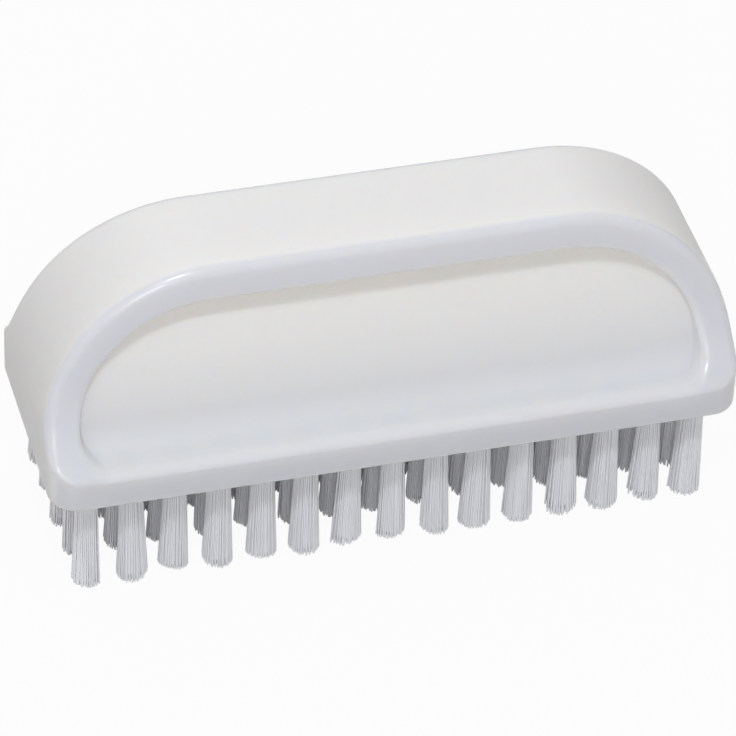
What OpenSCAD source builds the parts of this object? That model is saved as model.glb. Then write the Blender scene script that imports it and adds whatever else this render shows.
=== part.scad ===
// Nail brush: a one-piece handle block with a finger recess on both long
// sides, and tufts of bristles that flat wire anchors hold in blind holes.
// Frame: +X along the brush, +Y from front to back, +Z up. The bristle tips
// stand on z = 0, and the origin is under the middle of the block.

/* [Block] */
// Length of the block
body_l = 100; // [80:1:130]
// Width of the block at its underside
base_w = 36.5; // [33:0.5:46]
// Width of the handle at its top
top_w = 17.5; // [16:0.5:22]
// Width at the underside if the handle's flanks ran straight down to it
flank_w = 24.5; // [23:0.5:26]
// Height of the block above its underside
body_h = 32; // [29:0.5:40]
// Radius of the two round shoulders
shoulder_r = 24.7; // [19:0.1:26]
// Corner radius of the underside, seen from above
plan_r = 4.3; // [3:0.1:5]
// Height at which the upright face of the lip turns into the flare of the flanks
flare_z = 5; // [4.8:0.1:5.4]
// Size of the blend between that face and the flare
flare_blend = 1; // [0.6:0.1:1.2]
// Rounding of the rim's outer edge
edge_r = 1.4; // [0.8:0.1:2]

/* [Finger recess] */
// Width of the rim beside each recess
rim_w = 5; // [4.2:0.1:6]
// Width of the rim above each recess
top_rim_w = 5.5; // [4.5:0.1:7]
// Rounding of the rim's inner edge and of the lip's edge
inner_r = 1.2; // [0.8:0.1:1.4]
// Height of the lip below each recess
lip_h = 5.5; // [5.2:0.1:6.5]
// Height of the cove between the lip and the panel
cove_h = 4; // [3:0.1:5]
// Depth of the recess under the top of the rim
top_depth = 4.4; // [3.8:0.1:5]
// Depth of the recess just above the cove
low_depth = 2.4; // [2.2:0.1:3]
// How far the panel swells out between those two
panel_crown = 0.5; // [0:0.1:0.6]
// How far the wall of the recess leans in for the mould
wall_lean = 0.7; // [0.4:0.1:1]
// Size of the blend between that wall and the panel
blend = 0.7; // [0.4:0.1:1]
// Corner radius of the recess beside the lip
corner_r = 3.2; // [2.6:0.1:4]

/* [Tufts] */
// Number of tufts along the brush
tuft_cols = 15; // [11:1:17]
// Number of tufts across the brush
tuft_rows = 5; // [3:1:6]
// From the block's end to the middle of the first tuft
end_margin = 5.7; // [5:0.1:9]
// From the block's side to the middle of the first tuft
side_margin = 4.75; // [4:0.05:6]
// Free length of the bristles below the block
bristle_l = 17; // [12:0.5:22]
// Width of one strand
strand_w = 0.84; // [0.5:0.02:0.88]
// How far the outer strands of a tuft lean out on their way to the tips
splay = 0.5; // [0.2:0.05:0.9]
// How far the tips of one tuft wander from under its hole
tuft_drift = 0.3; // [0:0.05:0.5]

/* [Tuft holes] */
// Diameter of a tuft hole
hole_d = 3.4; // [3.3:0.05:3.8]
// Wall left between a tuft hole and the ledge behind the lip
hole_roof = 1.2; // [0.8:0.1:1.8]
// Clearance round the root of a tuft
root_clearance = 0.05; // [0.02:0.01:0.06]
// How far the root stays inside its hole
root_inset = 0.3; // [0.1:0.05:0.6]

/* [Anchors] */
// Thickness of the anchor wire
anchor_t = 0.35; // [0.25:0.05:0.5]
// Height of the anchor wire
anchor_h = 1.6; // [1.2:0.1:2]
// How far each end of an anchor bites into the wall of its hole
anchor_bite = 0.35; // [0.2:0.05:0.5]
// Height of the fold of bristles above an anchor
fold_h = 1; // [0.6:0.1:1.4]
// Clearance round an anchor
anchor_clearance = 0.04; // [0.02:0.01:0.08]

/* [Hidden] */
// Overrun of every cut past the surface that it opens
overrun = 3;
// How far a strand runs up into the root of its tuft
strand_sunk = 0.6;
// Bare edge of the root round the strands
root_edge = 0.06;
// Height of the first steps of the ledge behind the lip
ledge_step = 0.08;
// Strands in the ring of one tuft, round a single one in the middle
ring_strands = 5;
strand_sides = 4;
// Facets of one rounding, of a recess corner and of a shoulder
round_steps = 4;
corner_steps = 8;
shoulder_steps = 12;
// The shoulder's points crowd towards its foot, where the cove starts; the first
// of them stands this share of a step off where a recess corner runs into it
foot_share = 0.3;
crowd_power = 1.25;
// How fast the flare dies out up the flanks
flare_power = 6.2;
// Rings on the band, as shares of the way from the edge's rounding to a plan corner
band_shares = [1, 0.5];
// Stages of the recess wall, as shares of its lean, of its blend and of its drop
wall_shares = [[0.55, 0, 0.6], [0.85, 0.4, 0.88], [1, 1, 1]];
// Fixed seed of the tufts' drift
drift_seed = 7;
$fn = 32;

pitch_x = (body_l - 2 * end_margin) / (tuft_cols - 1);
pitch_y = (base_w - 2 * side_margin) / (tuft_rows - 1);
shoulder_x = body_l / 2 - shoulder_r;
shoulder_z = body_h - shoulder_r;
panel_foot_z = lip_h + cove_h;
panel_top_z = body_h - top_rim_w;
hole_depth = lip_h - hole_roof;
root_d = hole_d - 2 * root_clearance;
// Radii of the ring of strands, at the root and at the tips
root_ring_r = sqrt(pow(root_d / 2 - root_edge, 2) - pow(strand_w / 2, 2)) - strand_w / 2;
tip_ring_r = root_ring_r + splay;
anchor_z = bristle_l + hole_depth - root_clearance - fold_h - anchor_h;
drifts = rands(-1, 1, 2 * tuft_cols * tuft_rows, drift_seed);

function tuft_name(i) = str("tufts_", i < 9 ? "0" : "", i + 1);
function anchor_name(i) = str("anchors_", i < 9 ? "0" : "", i + 1);

// The smaller of two distances, with a rounded turn between them
function soft_min(a, b, size) =
    let (h = min(1, max(0, (b - a + size) / (2 * size))))
    b + (a - b) * h - size * h * (1 - h);

// Distance from the middle plane to the front or back face: a steep flank that
// flares out, further down, to the upright face of the lip
function flank_y(z) = (flank_w - (flank_w - top_w) * z / body_h) / 2;
function flare_y(z) = flank_y(z)
    + (base_w / 2 - flank_y(flare_z)) * pow((body_h - z) / (body_h - flare_z), flare_power);
function face_y(z) = soft_min(flare_y(z), base_w / 2, flare_blend);

// Distance from the middle plane to the panel, and on down over the cove
panel_foot_y = face_y(panel_foot_z) - low_depth;
panel_top_y = face_y(panel_top_z) - top_depth;
panel_rise = panel_top_z - panel_foot_z;
foot_slope = (panel_top_y - panel_foot_y + 4 * panel_crown) / panel_rise;
function swell_y(u) = panel_foot_y + (panel_top_y - panel_foot_y) * u + 4 * panel_crown * u * (1 - u);
function foot_y(z) = panel_foot_y + foot_slope * (z - panel_foot_z);
function cove_y(z, v) = foot_y(z) + (face_y(lip_h) - inner_r - foot_y(lip_h)) * (1 - sqrt(1 - v * v));
function panel_y(z) = z > panel_foot_z
    ? swell_y((z - panel_foot_z) / panel_rise)
    : cove_y(z, min(1, (panel_foot_z - z) / cove_h));

// Right half of the D outline of a recess, [x, z] from its foot to its top: inset
// from the block's outline, with its foot at foot_z and the foot's corner rounded by r
function half_recess(inset, foot_z, r) =
    let (
        big_r = shoulder_r - inset,
        start = asin(max(0, foot_z + r - shoulder_z) / (big_r - r)),
        corner_x = shoulder_x + (big_r - r) * cos(start)
    )
    concat(
        [for (k = [0 : corner_steps])
            let (a = -90 + (90 + start) * k / corner_steps)
            [corner_x + r * cos(a), foot_z + r + r * sin(a)]],
        half_shoulder(big_r, big_r + rim_w - top_rim_w, foot_z + r, start)
    );
// Its shoulder, reach_x by reach_z, from the angle start where the outline below
// it ends at end_z
function half_shoulder(reach_x, reach_z, end_z, start) =
    let (first = end_z < shoulder_z - ledge_step ? 0 : foot_share)
    [for (k = [0 : shoulder_steps])
        let (a = start + (90 - start) * pow((k + first) / (shoulder_steps + first), crowd_power))
        [shoulder_x + reach_x * cos(a), shoulder_z + reach_z * sin(a)]];

// Heights of the points below a shoulder, level with those of a recess corner
corner_heights = [for (p = half_recess(rim_w - inner_r, lip_h - inner_r, corner_r + inner_r)) p[1]];
levels = concat(-overrun, flare_z - flare_blend, [for (k = [3 : corner_steps]) corner_heights[k]]);

// Right half of the block's own D outline, inset
function half_block(inset) =
    let (
        big_r = shoulder_r - inset,
        end_z = corner_heights[corner_steps],
        start = asin(max(0, end_z - shoulder_z) / big_r)
    )
    concat(
        [[body_l / 2 - plan_r, -overrun]],
        [for (z = levels) [shoulder_x + sqrt(pow(big_r, 2) - pow(max(0, z - shoulder_z), 2)), z]],
        half_shoulder(big_r, big_r, end_z, start)
    );

// The whole outline as one ring, right half up and left half down
function whole_outline(half) = concat(
    half,
    [for (k = [len(half) - 1 : -1 : 0]) [-half[k][0], half[k][1]]]
);

// A point drawn in to the rounded plan of the underside
function in_plan(p) =
    let (
        corner = [body_l, base_w] / 2 - plan_r * [1, 1],
        over = [max(0, abs(p[0]) - corner[0]), max(0, abs(p[1]) - corner[1])],
        fit = over[0] > 0 && over[1] > 0 ? min(1, plan_r / norm(over)) : 1
    )
    [sign(p[0]) * (abs(p[0]) - over[0] * (1 - fit)), sign(p[1]) * (abs(p[1]) - over[1] * (1 - fit)), p[2]];

// Rings of the front, from the block's outer band in to the panel
function ring(half, depth) = [for (p = whole_outline(half)) in_plan([p[0], depth - face_y(p[1]), p[1]])];
function wall_ring(half, drop_share) =
    [for (p = whole_outline(half))
        let (depth = face_y(p[1]) - panel_y(p[1]))
        [p[0], inner_r + drop_share * (depth - inner_r) - face_y(p[1]), p[1]]];
front_rings = concat(
    [for (s = band_shares) ring(half_block(0), edge_r + s * (plan_r - edge_r))],
    [for (k = [0 : round_steps])
        let (a = 90 * k / round_steps)
        ring(half_block(edge_r * (1 - cos(a))), edge_r * (1 - sin(a)))],
    [ring(half_block((edge_r + rim_w - inner_r) / 2), 0)],
    [for (k = [0 : round_steps])
        let (a = 90 * k / round_steps, back = inner_r * (1 - sin(a)))
        ring(half_recess(rim_w - back, lip_h - back, corner_r + back), inner_r * (1 - cos(a)))],
    [for (k = [0 : len(wall_shares) - 1])
        let (s = wall_shares[k], lean = wall_lean * s[0] + blend * s[1])
        wall_ring(half_recess(rim_w + lean, lip_h + ledge_step * (k + 1), corner_r - lean), s[2])]
);

// Closed skin of the block: the front rings outwards, then their mirror images
// inwards, with each panel closed by level strips
module block_skin() {
    ring_count = len(front_rings);
    size = len(front_rings[0]);
    half = size / 2;
    last = 2 * ring_count - 1;
    front = [for (k = [ring_count - 1 : -1 : 0]) each front_rings[k]];
    back = [for (k = [0 : ring_count - 1]) each [for (p = front_rings[k]) [p[0], -p[1], p[2]]]];
    sides = [for (k = [0 : last - 1]) for (i = [0 : size - 1])
        let (a = k * size + i, b = k * size + (i + 1) % size)
        each [[a, b + size, a + size], [a, b, b + size]]];
    front_strips = [for (i = [0 : half - 2])
        each [[i, size - 2 - i, i + 1], [i, size - 1 - i, size - 2 - i]]];
    back_strips = [for (f = front_strips) [for (v = [2 : -1 : 0]) f[v] + last * size]];
    polyhedron(points = concat(front, back), faces = concat(sides, front_strips, back_strips));
}

// Puts its children at each tuft of one crosswise row
module along_row(i) {
    for (j = [0 : tuft_rows - 1])
        translate([i * pitch_x + end_margin - body_l / 2, j * pitch_y + side_margin - base_w / 2])
            children();
}

// The wire of one anchor, grown by gap on all sides
module anchor_wire(gap) {
    size = [hole_d + 2 * anchor_bite, anchor_t, anchor_h] + 2 * gap * [1, 1, 1];
    translate([-size[0] / 2, -size[1] / 2, anchor_z - gap]) cube(size);
}

module tuft_hole() {
    translate([0, 0, bristle_l - overrun]) cylinder(d = hole_d, h = hole_depth + overrun);
    anchor_wire(anchor_clearance);
}

module body() {
    color("#eceae6") difference() {
        translate([0, 0, bristle_l]) block_skin();
        translate([-body_l, -base_w, bristle_l - 2 * overrun]) cube([2 * body_l, 2 * base_w, 2 * overrun]);
        for (i = [0 : tuft_cols - 1]) along_row(i) tuft_hole();
    }
}

// One strand from its root at ring radius r0 down to its tip at r1 + drift
module strand(angle, r0, r1, drift) {
    sides = strand_sides;
    reach = strand_w / (2 * cos(180 / sides));
    top_z = bristle_l + root_inset + strand_sunk;
    spots = [[r1 * cos(angle) + drift[0], r1 * sin(angle) + drift[1], 0], [r0 * cos(angle), r0 * sin(angle), top_z]];
    points = [for (c = spots) for (k = [0 : sides - 1])
        let (a = angle + 180 / sides + 360 * k / sides)
        c + [reach * cos(a), reach * sin(a), 0]];
    walls = [for (k = [0 : sides - 1])
        let (n = (k + 1) % sides)
        each [[k, k + sides, n + sides], [k, n + sides, n]]];
    caps = [for (k = [1 : sides - 2]) each [[0, k, k + 1], [sides, sides + k + 1, sides + k]]];
    polyhedron(points = points, faces = concat(walls, caps));
}

module tuft(drift) {
    root_z = bristle_l + root_inset;
    difference() {
        translate([0, 0, root_z]) cylinder(d = root_d, h = hole_depth - root_inset - root_clearance);
        anchor_wire(anchor_clearance);
    }
    strand(0, 0, 0, drift);
    for (k = [0 : ring_strands - 1])
        strand(360 * (k + 0.5) / ring_strands, root_ring_r, tip_ring_r, drift);
}

module tuft_row(i) {
    color("#f7f7f4") for (j = [0 : tuft_rows - 1])
        translate([i * pitch_x + end_margin - body_l / 2, j * pitch_y + side_margin - base_w / 2])
            tuft(tuft_drift * [drifts[2 * (i * tuft_rows + j)], drifts[2 * (i * tuft_rows + j) + 1], 0]);
}

module anchor_row(i) {
    color("#c9b26a") along_row(i) anchor_wire(0);
}

body();
for (i = [0 : tuft_cols - 1]) {
    tuft_row(i);
    anchor_row(i);
}
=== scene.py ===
"""Nail brush: a white one-piece handle block with a finger recess on both long sides, over 15 by 5
tufts of nylon filament.

Lengths are in millimetres as far as the mesh functions, and MM turns them into the frame's metres.
The block is built with z = 0 at its underside and lifted to its place at the end.
"""

import math

import bmesh
import bpy
import numpy as np
from mathutils import Matrix, Vector
from mathutils.geometry import delaunay_2d_cdt


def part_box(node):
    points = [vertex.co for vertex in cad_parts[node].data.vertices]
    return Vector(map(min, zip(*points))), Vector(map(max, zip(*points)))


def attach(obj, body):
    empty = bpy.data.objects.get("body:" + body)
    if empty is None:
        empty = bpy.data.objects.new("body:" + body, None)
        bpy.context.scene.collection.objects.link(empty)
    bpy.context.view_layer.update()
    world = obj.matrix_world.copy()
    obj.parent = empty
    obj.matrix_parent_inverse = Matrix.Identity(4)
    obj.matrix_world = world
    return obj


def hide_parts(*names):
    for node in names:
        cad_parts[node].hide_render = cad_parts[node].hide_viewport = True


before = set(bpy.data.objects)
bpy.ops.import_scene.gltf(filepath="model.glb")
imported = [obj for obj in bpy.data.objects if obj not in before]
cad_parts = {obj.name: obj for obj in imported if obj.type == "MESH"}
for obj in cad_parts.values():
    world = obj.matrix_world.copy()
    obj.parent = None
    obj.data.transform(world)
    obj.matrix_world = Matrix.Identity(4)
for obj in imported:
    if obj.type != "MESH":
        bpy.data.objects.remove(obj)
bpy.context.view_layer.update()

MM = 0.001
SEED = 20

# Block, from the frame
block_low, block_high = (np.array(corner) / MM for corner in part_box("body"))
BODY_L, BASE_W, BODY_H = block_high - block_low
UNDERSIDE_Z = block_low[2]

# Block, as in the construction
TOP_W = 17.5
FLANK_W = 24.5
SHOULDER_R = 24.7
PLAN_R = 4.3
FLARE_Z = 5.0
FLARE_BLEND = 1.0
FLARE_POWER = 6.2
EDGE_R = 1.4
RIM_W = 5.0
TOP_RIM_W = 5.5
INNER_R = 1.2
LIP_H = 5.5
COVE_H = 4.0
TOP_DEPTH = 4.4
LOW_DEPTH = 2.4
PANEL_CROWN = 0.5
WALL_LEAN = 0.7
BLEND = 0.7
CORNER_R = 3.2

# Tuft holes, as in the construction
TUFT_COLS = 15
TUFT_ROWS = 5
END_MARGIN = 5.7
SIDE_MARGIN = 4.75
HOLE_D = 3.4
HOLE_DEPTH = 4.3

# Block, in the skin alone: the rounding of its foot, the rise of the recess wall's own foot, and how
# far the last rings run in over the cove and up past it
FOOT_R = 0.45
WALL_RISE = 0.25
COVE_RUN = 1.6
COVE_OVERRUN = 0.6

# Fineness of the skin
CORNER_STEPS = 20
SHOULDER_STEPS = 90
BAND_STEPS = 6
FACE_STEPS = 4
ROUND_STEPS = 10
WALL_STEPS = 16
COVE_STEPS = 26
FOOT_STEPS = 6
HOLE_SIDES = 40

# Rings from the end of the outer band to the inner edge of the rim's face
RIM_RINGS = ROUND_STEPS + 1 + FACE_STEPS

# The skin starts this far down, to be cut level at its foot
BELOW = -3.0

# The block's sides skip the heights of the recess corner's first rows, which lie down in the flare
LOW_CORNER_ROWS = 3

# A side that ends less than this under the shoulder would crowd the shoulder's first row
SHOULDER_ROOM = 0.1

# Rings over which the outer band turns glossy and takes on the rim's painted shade
GLOSS_RINGS = 3

# Filling of the underside: the triangulation's tolerance, and the part of a hole's radius in which
# the middle of a face counts as inside it
FILL_TOLERANCE = 1e-7
HOLE_TEST = 0.98

# Filaments: thickness, spacing, clearance to the hole's wall and reach up into the hole
FILAMENT_D = 0.27
FILAMENT_PITCH = 0.274
FILAMENT_SIDES = 5
FILAMENT_RINGS = 6
WALL_CLEARANCE = 0.02
SEAT_DEPTH = 1.5

# How a tuft opens towards its tips: widening at the tip, its range from tuft to tuft, and how late
# the widening, the lean of the tuft and the scatter of its tips set in
TUFT_SPLAY = 0.68
SPLAY_RANGE = (0.7, 1.2)
SPLAY_POWER = 1.2
LEAN_POWER = 1.1
SCATTER_POWER = 1.5
TIP_SCATTER = 0.06
BOW = 0.02
STRAY_SHARE = 0.03
STRAY_REACH = 4.0

# How a tuft is cut: unevenness from filament to filament, and slope across the tuft
CUT_SCATTER = 0.20
CUT_POWER = 1.5
CUT_TILT = 0.15

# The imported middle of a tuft: distance in from the hole's wall, and distance up from the tips
CORE_SIDES = 20
CORE_INSET = 0.32
CORE_GAP = 0.5

# Where the tips of one CAD tuft are found: below this height, and this near to its hole
TIP_Z = 0.1
TUFT_REACH = 3.0

# Edges that turn more sharply than this, in degrees, stay sharp
BLOCK_SHARP = 50
FILAMENT_SHARP = 80


# The block's surface

SHOULDER_X = BODY_L / 2 - SHOULDER_R
SHOULDER_Z = BODY_H - SHOULDER_R
PANEL_FOOT_Z = LIP_H + COVE_H
PANEL_TOP_Z = BODY_H - TOP_RIM_W
WALL_W = WALL_LEAN + BLEND
WALL_SLOPE = (TOP_DEPTH - INNER_R) / WALL_LEAN


def soft_min(a, b, width):
    """The smaller of two distances, with a rounded turn between them."""
    h = np.clip((b - a) / width * 0.5 + 0.5, 0, 1)
    return b + (a - b) * h - width * h * (1 - h)


def flank_y(z):
    """Distance from the middle plane to the flank, which draws in evenly towards the top."""
    return (FLANK_W - (FLANK_W - TOP_W) * z / BODY_H) / 2


def face_y(z):
    """Distance from the middle plane to the face: a steep flank, a flare and the lip's upright face."""
    reach = np.maximum(BODY_H - z, 0) / (BODY_H - FLARE_Z)
    flare = flank_y(z) + (BASE_W / 2 - flank_y(FLARE_Z)) * reach ** FLARE_POWER
    return soft_min(flare, BASE_W / 2, FLARE_BLEND)


PANEL_FOOT_Y = face_y(PANEL_FOOT_Z) - LOW_DEPTH
PANEL_TOP_Y = face_y(PANEL_TOP_Z) - TOP_DEPTH
PANEL_RISE = PANEL_TOP_Z - PANEL_FOOT_Z
FOOT_SLOPE = (PANEL_TOP_Y - PANEL_FOOT_Y + 4 * PANEL_CROWN) / PANEL_RISE


def panel_y(z):
    """Distance from the middle plane to the panel and, below its foot, to the cove."""
    u = (z - PANEL_FOOT_Z) / PANEL_RISE
    swell = PANEL_FOOT_Y + (PANEL_TOP_Y - PANEL_FOOT_Y) * u + 4 * PANEL_CROWN * u * (1 - u)
    v = np.clip((PANEL_FOOT_Z - z) / COVE_H, 0, 1)
    line = PANEL_FOOT_Y + FOOT_SLOPE * (z - PANEL_FOOT_Z)
    lip_line = PANEL_FOOT_Y - FOOT_SLOPE * COVE_H
    cove = line + (face_y(LIP_H) - INNER_R - lip_line) * (1 - np.sqrt(1 - v * v))
    return np.where(z > PANEL_FOOT_Z, swell, cove)


def half_shoulder(reach, drop, end_z, start):
    """Shoulder of an outline as rows of x and z, from the angle start to the top.

    The top lies lower by drop, and end_z is the height at which the outline's side ends.
    """
    first = 0.0 if end_z < SHOULDER_Z - SHOULDER_ROOM else 0.5
    share = (np.arange(SHOULDER_STEPS + 1) + first) / (SHOULDER_STEPS + first)
    a = start + (math.pi / 2 - start) * share
    lowered = drop * (np.sin(a) - math.sin(start)) / (1 - math.sin(start))
    return np.stack([SHOULDER_X + reach * np.cos(a), SHOULDER_Z + reach * np.sin(a) - lowered], 1)


def half_recess(inset, foot_z, r):
    """Right half of a recess's D outline as rows of x and z, from its foot to its top."""
    big_r = SHOULDER_R - inset
    start = math.asin(max(0.0, foot_z + r - SHOULDER_Z) / (big_r - r))
    corner_x = SHOULDER_X + (big_r - r) * math.cos(start)
    a = np.linspace(-math.pi / 2, start, CORNER_STEPS + 1)
    corner = np.stack([corner_x + r * np.cos(a), foot_z + r + r * np.sin(a)], 1)
    return np.vstack([corner, half_shoulder(big_r, TOP_RIM_W - RIM_W, foot_z + r, start)])


rim_outline = half_recess(RIM_W - INNER_R, LIP_H - INNER_R, CORNER_R + INNER_R)
SIDE_HEIGHTS = rim_outline[LOW_CORNER_ROWS:CORNER_STEPS + 1, 1]


def half_block(inset):
    """Right half of the block's own D outline, inset, from below its underside to its top."""
    big_r = SHOULDER_R - inset
    z = np.concatenate([[BELOW, FLARE_Z - FLARE_BLEND], SIDE_HEIGHTS])
    side = np.stack([SHOULDER_X + np.sqrt(big_r ** 2 - np.maximum(z - SHOULDER_Z, 0) ** 2), z], 1)
    start = math.asin(max(0.0, z[-1] - SHOULDER_Z) / big_r)
    foot = [[BODY_L / 2 - PLAN_R, BELOW]]
    return np.vstack([foot, side, half_shoulder(big_r, 0.0, z[-1], start)])


def in_plan(points):
    """Draws points in to the rounded plan of the underside."""
    corner = np.array([BODY_L, BASE_W]) / 2 - PLAN_R
    over = np.maximum(np.abs(points[:, :2]) - corner, 0)
    far = np.maximum(np.linalg.norm(over, axis=1), PLAN_R)
    fit = np.where((over > 0).all(1), PLAN_R / far, 1.0)[:, None]
    points[:, :2] = np.sign(points[:, :2]) * (np.abs(points[:, :2]) - over * (1 - fit))
    return points


def ring(half, depth_of):
    """One ring of the front face, right half up and left half down, at depth_of(z) behind the face."""
    whole = np.vstack([half, half[::-1] * [-1, 1]])
    x, z = whole.T
    return in_plan(np.stack([x, depth_of(z) - face_y(z), z], 1))


def level(depth):
    """A depth that is the same all round a ring."""
    return lambda z: depth


def recess_depth(s):
    """Depth of the recess at a distance s in from its edge: a wall that turns softly into the panel."""
    return lambda z: soft_min(INNER_R + WALL_SLOPE * s, face_y(z) - panel_y(z), BLEND)


def front_rings():
    """Rings from the outer band in over the rim, down the wall and out onto the panel."""
    rings = []
    for k in range(BAND_STEPS):
        depth = PLAN_R + (EDGE_R - PLAN_R) * k / BAND_STEPS
        rings.append(ring(half_block(0), level(depth)))
    for k in range(ROUND_STEPS + 1):
        a = math.pi / 2 * k / ROUND_STEPS
        half = half_block(EDGE_R * (1 - math.cos(a)))
        rings.append(ring(half, level(EDGE_R * (1 - math.sin(a)))))
    for inset in np.linspace(EDGE_R, RIM_W - INNER_R, FACE_STEPS + 2)[1:-1]:
        rings.append(ring(half_block(inset), level(0.0)))
    for k in range(ROUND_STEPS + 1):
        a = math.pi / 2 * k / ROUND_STEPS
        back = INNER_R * (1 - math.sin(a))
        half = half_recess(RIM_W - back, LIP_H - back, CORNER_R + back)
        rings.append(ring(half, level(INNER_R * (1 - math.cos(a)))))
    for k in range(1, WALL_STEPS + 1):
        s = WALL_W * k / WALL_STEPS
        half = half_recess(RIM_W + s, LIP_H + WALL_RISE * s / WALL_W, CORNER_R - s)
        rings.append(ring(half, recess_depth(s)))
    for k in range(1, COVE_STEPS + 1):
        t = k / COVE_STEPS
        s = WALL_W + COVE_RUN * t
        foot_z = LIP_H + WALL_RISE + (COVE_H + COVE_OVERRUN) * (1 - math.cos(math.pi / 2 * t))
        half = half_recess(RIM_W + s, foot_z, CORNER_R - WALL_W)
        rings.append(ring(half, recess_depth(s)))
    return rings


def skin_mesh():
    """bmesh of the block's skin, closed by level strips over both panels, and open at its foot.

    The vertex layer gloss is 0 on the outer band and 1 from the rim on, and recess is 0 as far as the
    rim and 1 in the recess.
    The material uses gloss for roughness and the rim's painted shade, and recess for the panel's
    painted shade and light.
    """
    rings = front_rings()
    count = len(rings)
    size = len(rings[0])
    rows = rings[::-1] + [r * [1, -1, 1] for r in rings]
    bm = bmesh.new()
    gloss = bm.verts.layers.float.new("gloss")
    recess = bm.verts.layers.float.new("recess")
    verts = [[bm.verts.new(p) for p in row] for row in rows]
    for k, row in enumerate(verts):
        step = (count - 1 - k if k < count else k - count) - BAND_STEPS
        for v in row:
            v[gloss] = min(1.0, max(0.0, step / GLOSS_RINGS))
            v[recess] = min(1.0, max(0.0, (step - RIM_RINGS) / ROUND_STEPS))
    for k in range(2 * count - 1):
        for i in range(size):
            j = (i + 1) % size
            bm.faces.new((verts[k][i], verts[k + 1][i], verts[k + 1][j], verts[k][j]))
    for row, turn in ((verts[0], 1), (verts[-1], -1)):
        for i in range(size // 2 - 1):
            quad = (row[i], row[i + 1], row[size - 2 - i], row[size - 1 - i])
            bm.faces.new(quad[::turn])
    return bm


# The block's underside

def hole_centres():
    """Places of the tuft holes along the brush and across it."""
    xs = np.linspace(-BODY_L / 2 + END_MARGIN, BODY_L / 2 - END_MARGIN, TUFT_COLS)
    ys = np.linspace(-BASE_W / 2 + SIDE_MARGIN, BASE_W / 2 - SIDE_MARGIN, TUFT_ROWS)
    return xs, ys


def foot_chain(bm):
    """Cuts the skin level at its foot, and returns the cut's vertices, anticlockwise from above."""
    geometry = bm.verts[:] + bm.edges[:] + bm.faces[:]
    bmesh.ops.bisect_plane(bm, geom=geometry, plane_co=(0, 0, FOOT_R), plane_no=(0, 0, -1),
                           clear_outer=True)
    edge = next(e for e in bm.edges if e.is_boundary)
    start = edge.verts[0]
    chain = [start]
    while True:
        vert = edge.other_vert(chain[-1])
        if vert is start:
            break
        chain.append(vert)
        edge = next(e for e in vert.link_edges if e.is_boundary and e is not edge)
    flat = np.array([v.co[:2] for v in chain])
    x, y = flat.T
    area = 0.5 * np.sum(x * np.roll(y, -1) - y * np.roll(x, -1))
    return chain[::-1] if area < 0 else chain


def round_foot(bm, chain):
    """Rounds the skin's foot over to the flat underside, and returns the flat's outer vertices."""
    flat = np.array([v.co[:2] for v in chain])
    along = np.roll(flat, -1, 0) - np.roll(flat, 1, 0)
    along /= np.linalg.norm(along, axis=1, keepdims=True)
    inward = np.stack([-along[:, 1], along[:, 0]], 1)
    previous = chain
    for k in range(1, FOOT_STEPS + 1):
        a = math.pi / 2 * k / FOOT_STEPS
        xy = flat + inward * FOOT_R * (1 - math.cos(a))
        z = FOOT_R * (1 - math.sin(a))
        current = [bm.verts.new((x, y, z)) for x, y in xy]
        for i, vert in enumerate(previous):
            j = (i + 1) % len(previous)
            bm.faces.new((vert, current[i], current[j], previous[j]))
        previous = current
    return previous


def loop_edges(first, count):
    """Edges of a closed loop of points that are numbered from first on."""
    return [(first + k, first + (k + 1) % count) for k in range(count)]


def point_in(p, polygon):
    """True if the point lies inside the closed polygon."""
    a, b = polygon, np.roll(polygon, -1, 0)
    crosses = (a[:, 1] > p[1]) != (b[:, 1] > p[1])
    with np.errstate(divide="ignore", invalid="ignore"):
        at = a[:, 0] + (p[1] - a[:, 1]) * (b[:, 0] - a[:, 0]) / (b[:, 1] - a[:, 1])
    return bool(np.count_nonzero(crosses & (p[0] < at)) % 2)


def fill_underside(bm, rim):
    """Fills the flat underside inside its rim and round the tuft holes, and drills the holes."""
    xs, ys = hole_centres()
    holes = np.array([[x, y] for x in xs for y in ys])
    outline = np.array([v.co[:2] for v in rim])
    points = [Vector(v.co[:2]) for v in rim]
    edges = loop_edges(0, len(rim))
    mouths = []
    for x, y in holes:
        first = len(points)
        for k in range(HOLE_SIDES):
            a = 2 * math.pi * k / HOLE_SIDES
            points.append(Vector((x + HOLE_D / 2 * math.cos(a), y + HOLE_D / 2 * math.sin(a))))
        edges += loop_edges(first, HOLE_SIDES)
        mouths.append(range(first, first + HOLE_SIDES))
    out, _, faces, origin, _, _ = delaunay_2d_cdt(points, edges, [], 0, FILL_TOLERANCE)
    index_of = {old: new for new, olds in enumerate(origin) for old in olds}
    verts = [None] * len(out)
    for i, vert in enumerate(rim):
        verts[index_of[i]] = vert
    for i, co in enumerate(out):
        if verts[i] is None:
            verts[i] = bm.verts.new((co[0], co[1], 0.0))
    for f in faces:
        middle = np.mean([out[i] for i in f], axis=0)
        in_hole = np.min(np.linalg.norm(holes - middle, axis=1)) < HOLE_D / 2 * HOLE_TEST
        if not in_hole and point_in(middle, outline):
            bm.faces.new([verts[i] for i in f][::-1])
    for mouth in mouths:
        top = [verts[index_of[i]] for i in mouth]
        deep = [bm.verts.new((v.co.x, v.co.y, HOLE_DEPTH)) for v in top]
        for k, n in loop_edges(0, HOLE_SIDES):
            bm.faces.new((top[k], top[n], deep[n], deep[k]))
        bm.faces.new(deep)


def link_object(name, data):
    """A new object with this mesh, light or camera, in the scene."""
    obj = bpy.data.objects.new(name, data)
    bpy.context.scene.collection.objects.link(obj)
    return obj


def mesh_object(name, bm):
    """An object from a bmesh, which is freed."""
    mesh = bpy.data.meshes.new(name)
    bm.to_mesh(mesh)
    bm.free()
    return link_object(name, mesh)


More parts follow.
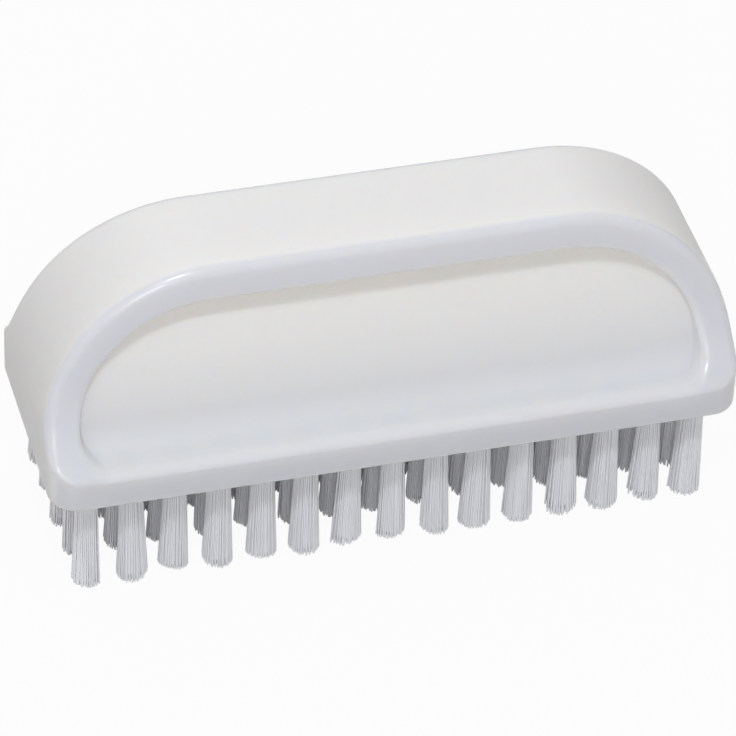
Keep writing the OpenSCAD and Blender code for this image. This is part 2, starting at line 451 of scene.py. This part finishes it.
def build_block():
    """The handle block as one closed skin, in its place in the frame."""
    bm = skin_mesh()
    fill_underside(bm, round_foot(bm, foot_chain(bm)))
    bmesh.ops.recalc_face_normals(bm, faces=bm.faces[:])
    bmesh.ops.transform(bm, matrix=Matrix.Translation((0, 0, UNDERSIDE_Z)), verts=bm.verts)
    bmesh.ops.scale(bm, vec=(MM, MM, MM), verts=bm.verts)
    obj = mesh_object("handle_block", bm)
    obj.data.shade_smooth()
    obj.data.set_sharp_from_angle(angle=math.radians(BLOCK_SHARP))
    return obj


# The tufts

def hex_spots(radius):
    """Places of the filaments across one tuft, packed like pencils."""
    spots = []
    n = int(radius / FILAMENT_PITCH) + 2
    for i in range(-n, n + 1):
        for j in range(-n, n + 1):
            x = FILAMENT_PITCH * (i + 0.5 * (j % 2))
            y = FILAMENT_PITCH * j * math.sqrt(3) / 2
            if math.hypot(x, y) <= radius:
                spots.append((x, y))
    return np.array(spots)


def tip_centre(node, hole):
    """Where the CAD tuft over this hole puts the middle of its tips."""
    co = np.array([v.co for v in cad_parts[node].data.vertices]) / MM
    near = co[(co[:, 2] < TIP_Z) & (np.abs(co[:, 1] - hole[1]) < TUFT_REACH)]
    return (near[:, :2].min(0) + near[:, :2].max(0)) / 2


def filament_paths(rng, hole, tip):
    """Paths of all filaments of one tuft, and the rings of its core.

    The paths are an array of filament, ring and x, y, z.
    """
    spots = hex_spots(HOLE_D / 2 - FILAMENT_D / 2 - WALL_CLEARANCE)
    count = len(spots)
    turn = rng.uniform(0, math.pi / 3)
    c, s = math.cos(turn), math.sin(turn)
    spots = spots @ np.array([[c, s], [-s, c]])
    top_z = UNDERSIDE_Z + SEAT_DEPTH
    cut = rng.uniform(0, CUT_SCATTER, count) ** CUT_POWER + spots @ rng.normal(0, CUT_TILT, 2)
    cut -= cut.min()
    scatter = rng.normal(0, TIP_SCATTER, (count, 2))
    bow = rng.normal(0, BOW, (count, 2))
    stray = rng.random(count) < STRAY_SHARE
    scatter[stray] *= STRAY_REACH
    widen = 1 + TUFT_SPLAY / (HOLE_D / 2) * rng.uniform(*SPLAY_RANGE, 2)
    paths = np.zeros((count, FILAMENT_RINGS, 3))
    lean = np.array(tip) - np.array(hole)
    for k, t in enumerate(np.linspace(0, 1, FILAMENT_RINGS)):
        z = top_z + (cut - top_z) * t
        free = np.clip((UNDERSIDE_Z - z) / UNDERSIDE_Z, 0, 1)[:, None]
        spread = spots * (1 + (widen - 1) * free ** SPLAY_POWER)
        xy = np.array(hole) + spread + lean * free ** LEAN_POWER + scatter * free ** SCATTER_POWER
        xy += bow * np.sin(math.pi * free)
        paths[:, k, :2] = xy
        paths[:, k, 2] = z
    return paths, core_rings(hole, lean, widen, top_z, cut.max() + CORE_GAP)


def core_rings(hole, lean, widen, top_z, end_z):
    """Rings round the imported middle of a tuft, which closes the gaps between its filaments."""
    a = 2 * math.pi * np.arange(CORE_SIDES) / CORE_SIDES
    circle = np.stack([np.cos(a), np.sin(a)], 1) * (HOLE_D / 2 - CORE_INSET)
    rings = np.zeros((FILAMENT_RINGS, CORE_SIDES, 3))
    for k, z in enumerate(np.linspace(top_z, end_z, FILAMENT_RINGS)):
        free = min(max((UNDERSIDE_Z - z) / UNDERSIDE_Z, 0), 1)
        spread = circle * (1 + (widen - 1) * free ** SPLAY_POWER)
        rings[k, :, :2] = np.array(hole) + lean * free ** LEAN_POWER + spread
        rings[k, :, 2] = z
    return rings


def round_paths(paths, diameter, sides):
    """Rings of points round each path, as an array of tube, ring, side and x, y, z."""
    a = 2 * math.pi * np.arange(sides) / sides
    circle = np.stack([np.cos(a), np.sin(a), 0 * a], 1) * diameter / 2
    return paths[:, :, None, :] + circle[None, None]


def tube_faces(count, rings, sides, start=0):
    """Faces of closed tubes whose points are numbered from start on by tube, ring and side."""
    faces = []
    for base in range(start, start + count * rings * sides, rings * sides):
        last = base + (rings - 1) * sides
        for upper in range(base, last, sides):
            lower = upper + sides
            for i, n in loop_edges(0, sides):
                faces.append((upper + i, lower + i, lower + n, upper + n))
        faces.append(tuple(range(base, base + sides)))
        faces.append(tuple(range(last + sides - 1, last - 1, -1)))
    return faces


def build_tufts():
    """One object for the five tufts of each crosswise row, with a shade for each filament."""
    rng = np.random.default_rng(SEED)
    xs, ys = hole_centres()
    pieces = []
    for i, x in enumerate(xs):
        node = f"tufts_{i + 1:02d}"
        tufts = [filament_paths(rng, (x, y), tip_centre(node, (x, y))) for y in ys]
        paths = np.concatenate([tuft[0] for tuft in tufts])
        threads = round_paths(paths, FILAMENT_D, FILAMENT_SIDES).reshape(-1, 3)
        cores = np.array([tuft[1] for tuft in tufts]).reshape(-1, 3)
        faces = tube_faces(len(paths), FILAMENT_RINGS, FILAMENT_SIDES)
        faces += tube_faces(len(tufts), FILAMENT_RINGS, CORE_SIDES, len(threads))
        mesh = bpy.data.meshes.new(f"filaments_{i + 1:02d}")
        mesh.from_pydata((np.vstack([threads, cores]) * MM).tolist(), [], faces)
        shade = np.repeat(rng.normal(0, 1, len(paths)), FILAMENT_RINGS * FILAMENT_SIDES)
        shade = np.append(shade, np.zeros(len(cores))).astype(np.float32)
        mesh.attributes.new("shade", "FLOAT", "POINT").data.foreach_set("value", shade)
        mesh.shade_smooth()
        mesh.set_sharp_from_angle(angle=math.radians(FILAMENT_SHARP))
        obj = link_object(f"filaments_{i + 1:02d}", mesh)
        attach(obj, "root")
        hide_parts(node)
        pieces.append(obj)
    return pieces


# Materials

WHITE = (1, 1, 1, 1)
BAND_WHITE = (0.842, 0.842, 0.842, 1)
# Painted shade: the lip and rim are the band's plastic painted darker, with a painted bluish
# reflection, and the lip is darkest
LIP_PAINTED_SHADE = (0.675, 0.688, 0.730, 1)
RIM_PAINTED_SHADE = (0.712, 0.727, 0.776, 1)
# Painted shade and light: the panel is painted darker and bluish at its foot, and lighter and warm at
# its top where light falls and bounces
PANEL_FOOT_PAINTED_SHADE = (0.752, 0.757, 0.778, 1)
PANEL_TOP_PAINTED_LIGHT = (0.940, 0.922, 0.888, 1)
PATCH_GREY = (0.74, 0.74, 0.73, 1)
NYLON_DARK = (0.905, 0.917, 0.955, 1)
NYLON_LIGHT = (0.940, 0.952, 0.982, 1)
BRASS_DARK = (0.55, 0.42, 0.18, 1)
BRASS_LIGHT = (0.68, 0.54, 0.26, 1)
FLOOR_DARK = (0.59, 0.59, 0.59, 1)
FLOOR_LIGHT = (0.61, 0.61, 0.61, 1)

# Heights over the underside between which the lip's painted shade turns into the rim's, and the panel's
# painted shade at its foot turns into the painted light at its top
LIP_TO_RIM_SHADE_Z = (4.0, 8.0)
PANEL_PAINTED_LIGHT_Z = (8.0, 27.0)

# Noise values mostly lie between these two
NOISE_RANGE = (0.3, 0.7)

# Block: share of the faint grey patches, and heights of the grain and of the waves in its relief
PATCH_SHARE = 0.03
GRAIN_HEIGHT = 0.10
WAVE_HEIGHT = 0.08

# Nylon: share of the streaks in each filament's tone, and of the light that passes through
STREAK_SHARE = 0.3
NYLON_TRANSLUCENCE = 0.05

# Share of the floor that shows as plain white
FLOOR_WHITENESS = 0.95


def node_material(name):
    mat = bpy.data.materials.new(name)
    mat.use_nodes = True
    tree = mat.node_tree
    return mat, tree, tree.nodes["Principled BSDF"]


def set_inputs(tree, node, inputs):
    """Links sockets to a node's inputs and sets plain values on them, by socket name or index."""
    for key, value in inputs.items():
        if isinstance(value, bpy.types.NodeSocket):
            tree.links.new(value, node.inputs[key])
        else:
            node.inputs[key].default_value = value


def add(tree, kind, inputs=None, **properties):
    """A new node with its properties set by name and its inputs by socket name or index."""
    node = tree.nodes.new(kind)
    for key, value in properties.items():
        setattr(node, key, value)
    set_inputs(tree, node, inputs or {})
    return node


def math_node(tree, operation, a, b):
    return add(tree, "ShaderNodeMath", {0: a, 1: b}, operation=operation).outputs[0]


def attribute(tree, name):
    return add(tree, "ShaderNodeAttribute", attribute_name=name).outputs["Fac"]


def object_place(tree):
    return add(tree, "ShaderNodeTexCoord").outputs["Object"]


def noise(tree, place, scale, detail):
    inputs = {"Vector": place, "Scale": scale, "Detail": detail}
    return add(tree, "ShaderNodeTexNoise", inputs).outputs["Fac"]


def mix_value(tree, factor, a, b):
    """A mix of two numbers, which are sockets 2 and 3 of the node."""
    return add(tree, "ShaderNodeMix", {0: factor, 2: a, 3: b}, data_type="FLOAT").outputs[0]


def mix_colour(tree, factor, a, b):
    """A mix of two colours, which are sockets 6 and 7 of the node."""
    return add(tree, "ShaderNodeMix", {0: factor, 6: a, 7: b}, data_type="RGBA").outputs[2]


def remap(tree, value, source, target):
    """The value, turned from the source range into the target range and held inside it."""
    inputs = {"Value": value, "From Min": source[0], "From Max": source[1], "To Min": target[0],
              "To Max": target[1]}
    return add(tree, "ShaderNodeMapRange", inputs).outputs[0]


def height_share(tree, place, heights):
    """0 below the first height over the underside, 1 above the second."""
    z = add(tree, "ShaderNodeSeparateXYZ", {0: place}).outputs["Z"]
    return remap(tree, z, [(UNDERSIDE_Z + height) * MM for height in heights], (0.0, 1.0))


def mix_to_output(tree, output, share, first, second):
    """Sends two shaders to the output's surface, with share of the second."""
    mixed = add(tree, "ShaderNodeMixShader", {0: share, 1: first.outputs[0], 2: second.outputs[0]})
    tree.links.new(mixed.outputs[0], tree.nodes[output].inputs["Surface"])


def block_material():
    """White moulded polypropylene, with a fine grain on the outer band, polished rims and panels, and
    painted shade and light: lip and rim darker and bluish, panel lighter and warmer upwards.
    """
    mat, tree, shader = node_material("white_polypropylene")
    gloss = attribute(tree, "gloss")
    place = object_place(tree)
    # Painted shade: the lip's darker, bluish white runs up into the rim's
    rim = mix_colour(tree, height_share(tree, place, LIP_TO_RIM_SHADE_Z), LIP_PAINTED_SHADE, RIM_PAINTED_SHADE)
    # Painted shade and light: the panel runs from a painted shade at its foot to a painted warm light
    # at its top
    panel = mix_colour(tree, height_share(tree, place, PANEL_PAINTED_LIGHT_Z), PANEL_FOOT_PAINTED_SHADE, PANEL_TOP_PAINTED_LIGHT)
    band_or_painted_rim_shade = mix_colour(tree, gloss, BAND_WHITE, rim)
    # plain holds the painted shade and light of band, rim and panel, before the random grey patches
    plain = mix_colour(tree, attribute(tree, "recess"), band_or_painted_rim_shade, panel)
    patches = noise(tree, place, scale=60.0, detail=4.0)
    patches = math_node(tree, "MULTIPLY", patches, PATCH_SHARE)
    scuffs = noise(tree, place, scale=300.0, detail=4.0)
    satin = remap(tree, scuffs, NOISE_RANGE, (0.50, 0.57))
    polished = remap(tree, scuffs, NOISE_RANGE, (0.22, 0.26))
    grain = noise(tree, place, scale=2600.0, detail=2.0)
    waves = noise(tree, place, scale=90.0, detail=1.0)
    band_grain = math_node(tree, "MULTIPLY", grain, math_node(tree, "SUBTRACT", 1.0, gloss))
    relief = math_node(tree, "ADD", math_node(tree, "MULTIPLY", band_grain, GRAIN_HEIGHT),
                       math_node(tree, "MULTIPLY", waves, WAVE_HEIGHT))
    bump = add(tree, "ShaderNodeBump", {"Height": relief, "Strength": 0.35, "Distance": 0.0001})
    set_inputs(tree, shader, {
        "Base Color": mix_colour(tree, patches, plain, PATCH_GREY),
        "Roughness": mix_value(tree, gloss, satin, polished),
        "Normal": bump.outputs[0],
        "IOR": 1.49,
        "Subsurface Weight": 0.65,
        "Subsurface Radius": (1.0, 0.78, 0.58),
        "Subsurface Scale": 0.005,
    })
    return mat


def nylon_material():
    """Clear white nylon filament, each one a little lighter or darker than the next."""
    mat, tree, shader = node_material("white_nylon")
    tone = remap(tree, attribute(tree, "shade"), (-2.0, 2.0), (0.0, 1.0))
    streaks = noise(tree, object_place(tree), scale=900.0, detail=2.0)
    tone = math_node(tree, "ADD", math_node(tree, "MULTIPLY", tone, 1 - STREAK_SHARE),
                     math_node(tree, "MULTIPLY", streaks, STREAK_SHARE))
    colour = mix_colour(tree, tone, NYLON_DARK, NYLON_LIGHT)
    set_inputs(tree, shader, {
        "Base Color": colour,
        "Roughness": remap(tree, streaks, NOISE_RANGE, (0.32, 0.42)),
        "IOR": 1.53,
    })
    translucent = add(tree, "ShaderNodeBsdfTranslucent", {"Color": colour})
    mix_to_output(tree, "Material Output", NYLON_TRANSLUCENCE, shader, translucent)
    return mat


def wire_material():
    """Flat drawn brass wire with fine lines along its length."""
    mat, tree, shader = node_material("anchor_brass")
    stretch = {"Vector": object_place(tree), "Scale": (200.0, 6000.0, 6000.0)}
    stretched = add(tree, "ShaderNodeMapping", stretch).outputs[0]
    lines = noise(tree, stretched, scale=1.0, detail=2.0)
    set_inputs(tree, shader, {
        "Base Color": mix_colour(tree, lines, BRASS_DARK, BRASS_LIGHT),
        "Roughness": remap(tree, lines, NOISE_RANGE, (0.25, 0.4)),
        "Metallic": 1.0,
    })
    return mat


def floor_material():
    """White to the camera and in reflections, with the brush's shadow kept on it."""
    mat, tree, shader = node_material("white_floor")
    mottle = noise(tree, object_place(tree), scale=3.0, detail=3.0)
    set_inputs(tree, shader, {
        "Base Color": mix_colour(tree, mottle, FLOOR_DARK, FLOOR_LIGHT),
        "Roughness": 0.9,
        "Specular IOR Level": 0.1,
    })
    path = add(tree, "ShaderNodeLightPath").outputs
    seen = math_node(tree, "MAXIMUM", path["Is Camera Ray"], path["Is Glossy Ray"])
    seen = math_node(tree, "MAXIMUM", seen, path["Is Transmission Ray"])
    white = add(tree, "ShaderNodeEmission", {"Color": WHITE, "Strength": 1.0})
    share = math_node(tree, "MULTIPLY", seen, FLOOR_WHITENESS)
    mix_to_output(tree, "Material Output", share, shader, white)
    return mat


# The stage

FLOOR_SIZE = 4.0
SKY_COLOUR = (1.04, 1.0, 0.95)
SKY_STRENGTH = 0.31

# Soft boxes: name, azimuth and elevation in degrees, distance and size in metres, power, colour
LIGHTS = [
    ("key", -20, 62, 0.75, 0.06, 1.60, (0.95, 1.0, 1.06)),
    ("top", 0, 88, 0.9, 0.7, 0.65, (1.0, 1.0, 1.0)),
    ("front", -16.6, 30, 0.9, 0.25, 1.85, (1.0, 1.0, 1.0)),
    ("left", -80, 35, 0.9, 0.6, 0.62, (1.0, 1.0, 1.03)),
    ("right", 80, 35, 0.9, 0.6, 0.65, (1.0, 1.0, 1.0)),
    ("back", 180, 40, 0.9, 0.6, 1.4, (1.0, 1.0, 1.0)),
]

# Camera, as fitted to the photograph's outline: angles in degrees, distance and the height aimed at
# over the underside in millimetres, focal length and the aim's place in the picture in pixels
CAMERA_AZIMUTH = -16.64
CAMERA_ELEVATION = 39.7
CAMERA_ROLL = 2.43
CAMERA_DISTANCE = 717.3
AIM_HEIGHT = 10.0
FOCAL_PX = 5065.9
AIM_RIGHT_PX = 3.1
AIM_DOWN_PX = -40.1
FRAME_PX = 736.0
SENSOR_WIDTH = 36.0
CLIP_START = 0.01
CLIP_END = 10.0


def outward(azimuth, elevation):
    """Unit vector away from the brush, from angles in radians. Azimuth 0 is in front."""
    return Vector((math.sin(azimuth) * math.cos(elevation), -math.cos(azimuth) * math.cos(elevation),
                   math.sin(elevation)))


def add_camera():
    """Long lens from the front left, tilted a little."""
    azimuth = math.radians(CAMERA_AZIMUTH)
    roll = math.radians(CAMERA_ROLL)
    back = outward(azimuth, math.radians(CAMERA_ELEVATION))
    level_right = Vector((math.cos(azimuth), math.sin(azimuth), 0))
    level_up = back.cross(level_right)
    right = level_right * math.cos(roll) + level_up * math.sin(roll)
    up = level_up * math.cos(roll) - level_right * math.sin(roll)
    px = CAMERA_DISTANCE / FOCAL_PX
    aim = Vector((0, 0, UNDERSIDE_Z + AIM_HEIGHT)) - right * AIM_RIGHT_PX * px + up * AIM_DOWN_PX * px
    data = bpy.data.cameras.new("camera")
    data.sensor_width = SENSOR_WIDTH
    data.lens = FOCAL_PX / FRAME_PX * SENSOR_WIDTH
    data.clip_start = CLIP_START
    data.clip_end = CLIP_END
    obj = link_object("camera", data)
    turn = Matrix((right, up, back)).transposed().to_4x4()
    obj.matrix_world = Matrix.Translation((aim + back * CAMERA_DISTANCE) * MM) @ turn
    bpy.context.scene.camera = obj


def area_light(name, azimuth, elevation, distance, size, power, colour):
    """Square soft box that faces the middle of the block."""
    data = bpy.data.lights.new(name, "AREA")
    data.shape = "SQUARE"
    data.size = size
    data.energy = power
    data.color = colour
    back = outward(math.radians(azimuth), math.radians(elevation))
    aim = Vector((0, 0, (UNDERSIDE_Z + BODY_H / 2) * MM))
    obj = link_object(name, data)
    obj.location = aim + back * distance
    obj.rotation_euler = back.to_track_quat("Z", "Y").to_euler()


def add_world():
    """Plain studio light from all round, and white where the camera sees past the floor."""
    world = bpy.data.worlds.new("studio")
    bpy.context.scene.world = world
    world.use_nodes = True
    tree = world.node_tree
    sky = tree.nodes["Background"]
    set_inputs(tree, sky, {"Color": (*SKY_COLOUR, 1), "Strength": SKY_STRENGTH})
    path = add(tree, "ShaderNodeLightPath").outputs
    white = add(tree, "ShaderNodeBackground", {"Color": WHITE, "Strength": 1.0})
    mix_to_output(tree, "World Output", path["Is Camera Ray"], sky, white)


def add_stage():
    bm = bmesh.new()
    bmesh.ops.create_grid(bm, x_segments=1, y_segments=1, size=FLOOR_SIZE)
    floor = mesh_object("floor", bm)
    floor.data.materials.append(floor_material())
    add_world()
    for light in LIGHTS:
        area_light(*light)


def main():
    bpy.context.scene.view_settings.view_transform = "Standard"
    add_camera()
    block = build_block()
    block.data.materials.append(block_material())
    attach(block, "root")
    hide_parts("body")
    nylon = nylon_material()
    for piece in build_tufts():
        piece.data.materials.append(nylon)
    brass = wire_material()
    for name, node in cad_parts.items():
        if name.startswith("anchors"):
            for material_slot in node.material_slots:
                material_slot.material = brass
    add_stage()


main()
